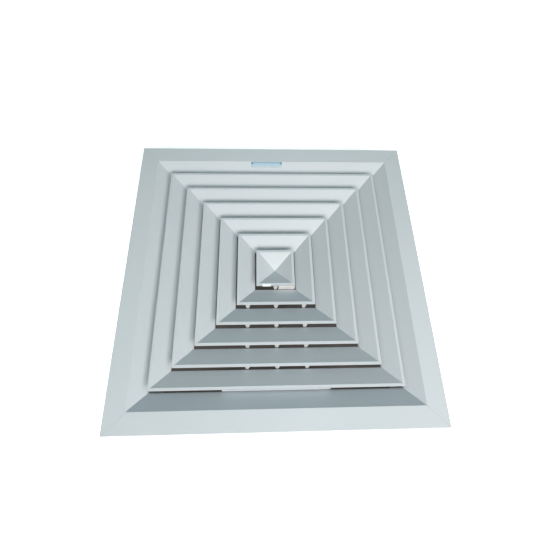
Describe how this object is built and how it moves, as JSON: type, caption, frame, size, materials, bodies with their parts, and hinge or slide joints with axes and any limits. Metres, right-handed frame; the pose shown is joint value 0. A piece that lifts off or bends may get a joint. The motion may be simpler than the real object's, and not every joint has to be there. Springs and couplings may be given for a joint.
{
  "type": "ceiling air diffuser",
  "caption": "Square ceiling air diffuser: mitred flanged frame with a duct neck, and a lift-out core of concentric sloping blades that spreads supply air to every side.",
  "frame": {"origin": "centre of the open end of the duct neck, so the diffuser stands on its neck with the face up", "axes": "+Z out of the face towards the room (down, once fitted in a ceiling), +Y towards the side that carries the label, +X to the right of it"},
  "size_m": [0.595, 0.595, 0.06],
  "materials": {
    "frame_powder_coat": "satin white powder coat on extruded aluminium",
    "core_powder_coat": "satin white powder coat on extruded aluminium",
    "mill_aluminium": "mill finish",
    "zinc_key": "zinc plated",
    "spring_steel": "bright rolled spring steel",
    "foam_gasket": "matte closed-cell foam",
    "white_nylon": "matte off-white plastic",
    "blank_label": "plain pale blue and white, no text"
  },
  "bodies": {
    "frame": {"corner_key_far_left": "zinc_key", "corner_key_far_right": "zinc_key", "corner_key_near_left": "zinc_key", "corner_key_near_right": "zinc_key", "flange_gasket": "foam_gasket", "frame_side_far": "frame_powder_coat", "frame_side_left": "frame_powder_coat", "frame_side_near": "frame_powder_coat", "frame_side_right": "frame_powder_coat", "neck_corner_angle_far_left": "mill_aluminium", "neck_corner_angle_far_right": "mill_aluminium", "neck_corner_angle_near_left": "mill_aluminium", "neck_corner_angle_near_right": "mill_aluminium", "throat_label": "blank_label"},
    "core": {"bar_rivet_far_centre": "mill_aluminium", "bar_rivet_far_left": "mill_aluminium", "bar_rivet_far_right": "mill_aluminium", "bar_rivet_near_centre": "mill_aluminium", "bar_rivet_near_left": "mill_aluminium", "bar_rivet_near_right": "mill_aluminium", "centre_cone": "core_powder_coat", "cone_packing_left": "white_nylon", "cone_packing_right": "white_nylon", "latch_strip_far": "core_powder_coat", "latch_strip_near": "core_powder_coat", "ring_1_far": "core_powder_coat", "ring_1_left": "core_powder_coat", "ring_1_near": "core_powder_coat", "ring_1_right": "core_powder_coat", "ring_2_far": "core_powder_coat", "ring_2_left": "core_powder_coat", "ring_2_near": "core_powder_coat", "ring_2_right": "core_powder_coat", "ring_3_far": "core_powder_coat", "ring_3_left": "core_powder_coat", "ring_3_near": "core_powder_coat", "ring_3_right": "core_powder_coat", "ring_4_far": "core_powder_coat", "ring_4_left": "core_powder_coat", "ring_4_near": "core_powder_coat", "ring_4_right": "core_powder_coat", "ring_5_far": "core_powder_coat", "ring_5_left": "core_powder_coat", "ring_5_near": "core_powder_coat", "ring_5_right": "core_powder_coat", "spring_rivet_far_left": "mill_aluminium", "spring_rivet_far_right": "mill_aluminium", "spring_rivet_near_left": "mill_aluminium", "spring_rivet_near_right": "mill_aluminium", "support_bar_centre": "core_powder_coat", "support_bar_left": "core_powder_coat", "support_bar_right": "core_powder_coat"},
    "spring_near_left": {"spring_leaf_near_left": "spring_steel"},
    "spring_near_right": {"spring_leaf_near_right": "spring_steel"},
    "spring_far_left": {"spring_leaf_far_left": "spring_steel"},
    "spring_far_right": {"spring_leaf_far_right": "spring_steel"}
  },
  "joints": [
    {"name": "core_slide", "type": "slide", "parent": "frame", "child": "core", "axis": [0, 0, 1], "range_m": [0, 0.1]},
    {"name": "spring_near_left_flex", "type": "hinge", "parent": "core", "child": "spring_near_left", "pos_m": [-0.0275, -0.2162, 0.03065], "axis": [1, 0, 0], "range_deg": [0, 5]},
    {"name": "spring_near_right_flex", "type": "hinge", "parent": "core", "child": "spring_near_right", "pos_m": [0.0275, -0.2162, 0.03065], "axis": [1, 0, 0], "range_deg": [0, 5]},
    {"name": "spring_far_left_flex", "type": "hinge", "parent": "core", "child": "spring_far_left", "pos_m": [-0.0275, 0.2162, 0.03065], "axis": [-1, 0, 0], "range_deg": [0, 5]},
    {"name": "spring_far_right_flex", "type": "hinge", "parent": "core", "child": "spring_far_right", "pos_m": [0.0275, 0.2162, 0.03065], "axis": [-1, 0, 0], "range_deg": [0, 5]}
  ]
}
